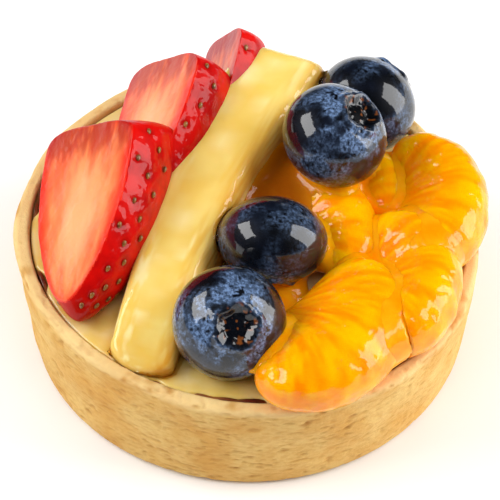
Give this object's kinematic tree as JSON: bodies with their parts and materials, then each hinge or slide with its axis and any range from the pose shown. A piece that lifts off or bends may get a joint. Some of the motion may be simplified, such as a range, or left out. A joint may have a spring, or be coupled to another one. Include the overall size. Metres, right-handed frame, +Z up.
{
  "type": "fruit tart",
  "caption": "Small round shortcrust tart filled with custard and topped with cut strawberries, a peach slice, blueberries and mandarin segments under a clear glaze.",
  "frame": {"origin": "middle of the flat underside", "axes": "+Z up through the tart, -Y towards the front blueberry and the viewer, +X towards the mandarin segments"},
  "size_m": [0.0818, 0.0821, 0.046],
  "materials": {
    "crust": "baked, matt, finely pitted",
    "chocolate": "set chocolate, satin",
    "custard": "smooth, glazed",
    "strawberry": "wet, glazed",
    "peach": "wet, glazed",
    "blueberry": "glazed over a pale bloom",
    "mandarin": "wet, glazed"
  },
  "bodies": {
    "root": {"crust": "crust", "chocolate_lining": "chocolate", "custard": "custard", "strawberry_front": "strawberry", "strawberry_middle": "strawberry", "strawberry_back": "strawberry", "peach_slice": "peach", "blueberry_front": "blueberry", "blueberry_middle": "blueberry", "blueberry_top": "blueberry", "blueberry_back": "blueberry", "mandarin_front": "mandarin", "mandarin_right": "mandarin", "mandarin_far": "mandarin", "mandarin_hidden": "mandarin", "mandarin_middle": "mandarin"}
  },
  "joints": []
}
